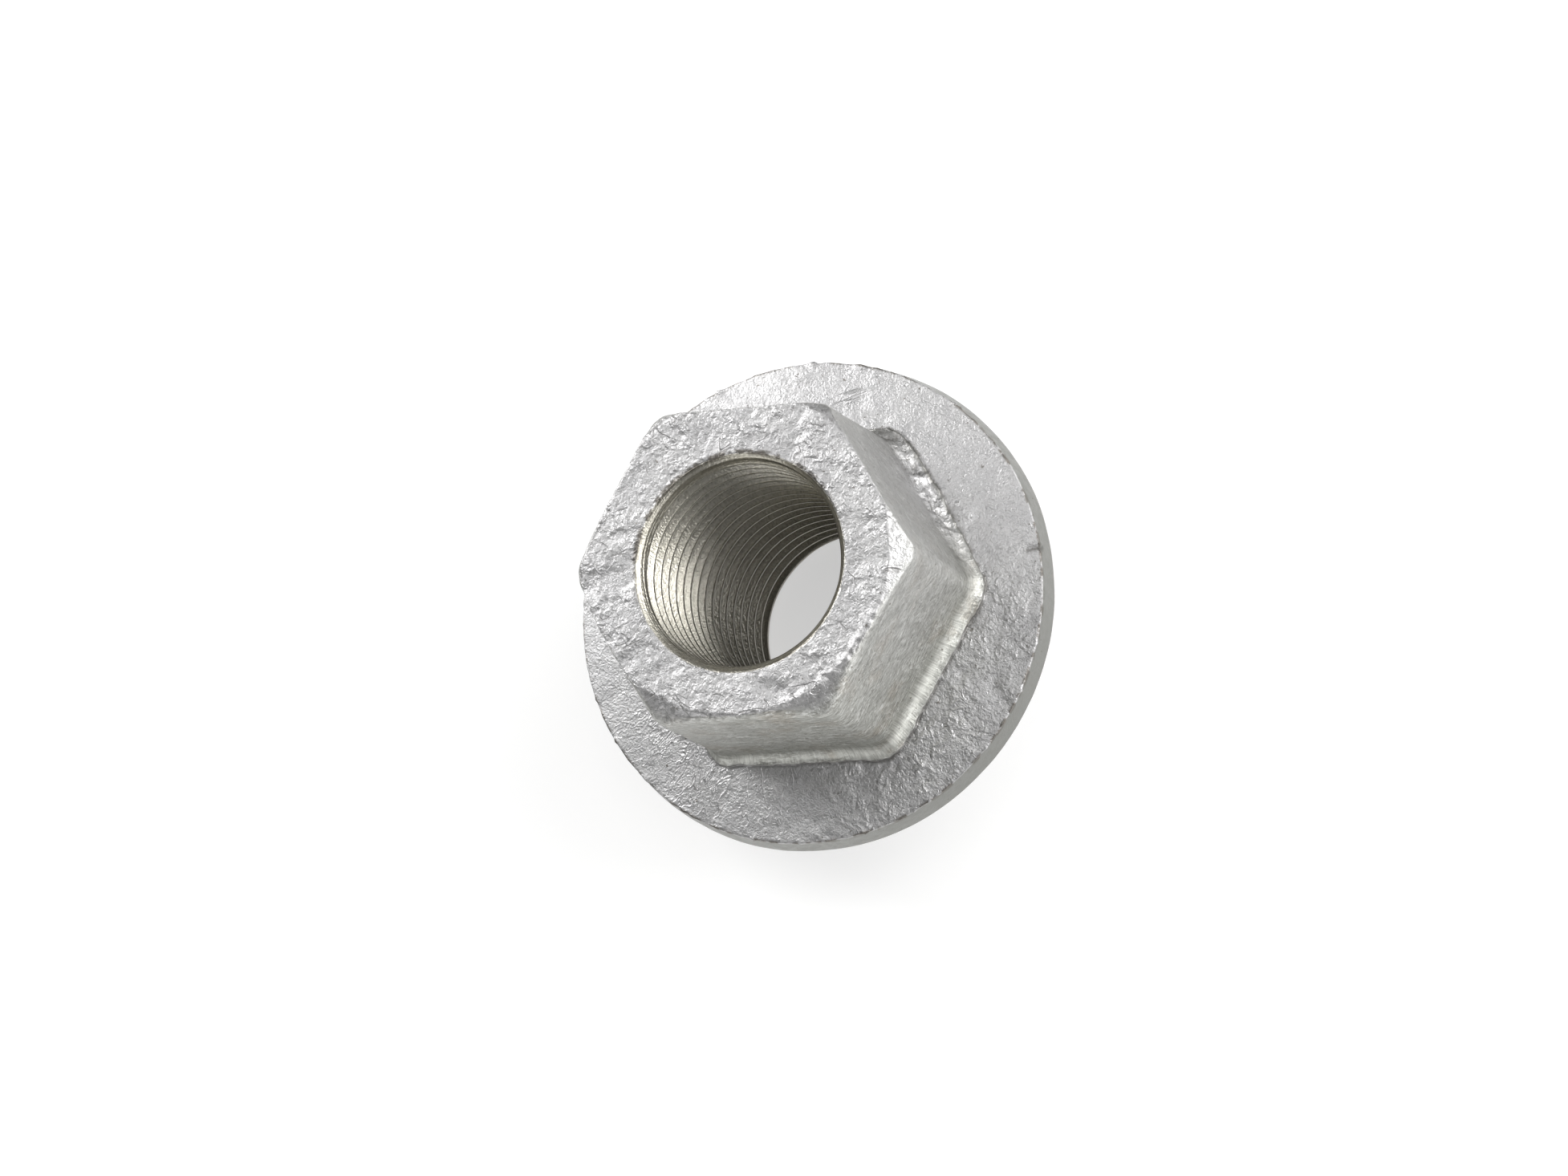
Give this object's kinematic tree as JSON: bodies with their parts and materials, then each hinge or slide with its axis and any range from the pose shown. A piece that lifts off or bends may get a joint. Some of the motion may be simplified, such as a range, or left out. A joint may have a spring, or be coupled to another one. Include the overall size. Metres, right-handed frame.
{
  "type": "flanged hexagon pipe socket",
  "caption": "Galvanised steel hexagon pipe socket with a round flange, a short round sleeve behind it and a through bore tapped for a 1/2 inch parallel pipe thread.",
  "frame": {"origin": "centre of the rear end face of the sleeve, on the bore axis", "axes": "+Z along the bore, from the sleeve towards the hexagon's face; +X square to one flat of the hexagon"},
  "size_m": [0.046, 0.046, 0.033],
  "materials": {
    "galvanised_steel": "hot-dip galvanised: rough crystalline zinc outside, bare tapped steel in the bore"
  },
  "bodies": {
    "root": {"flanged_hex_socket": "galvanised_steel"}
  },
  "joints": []
}
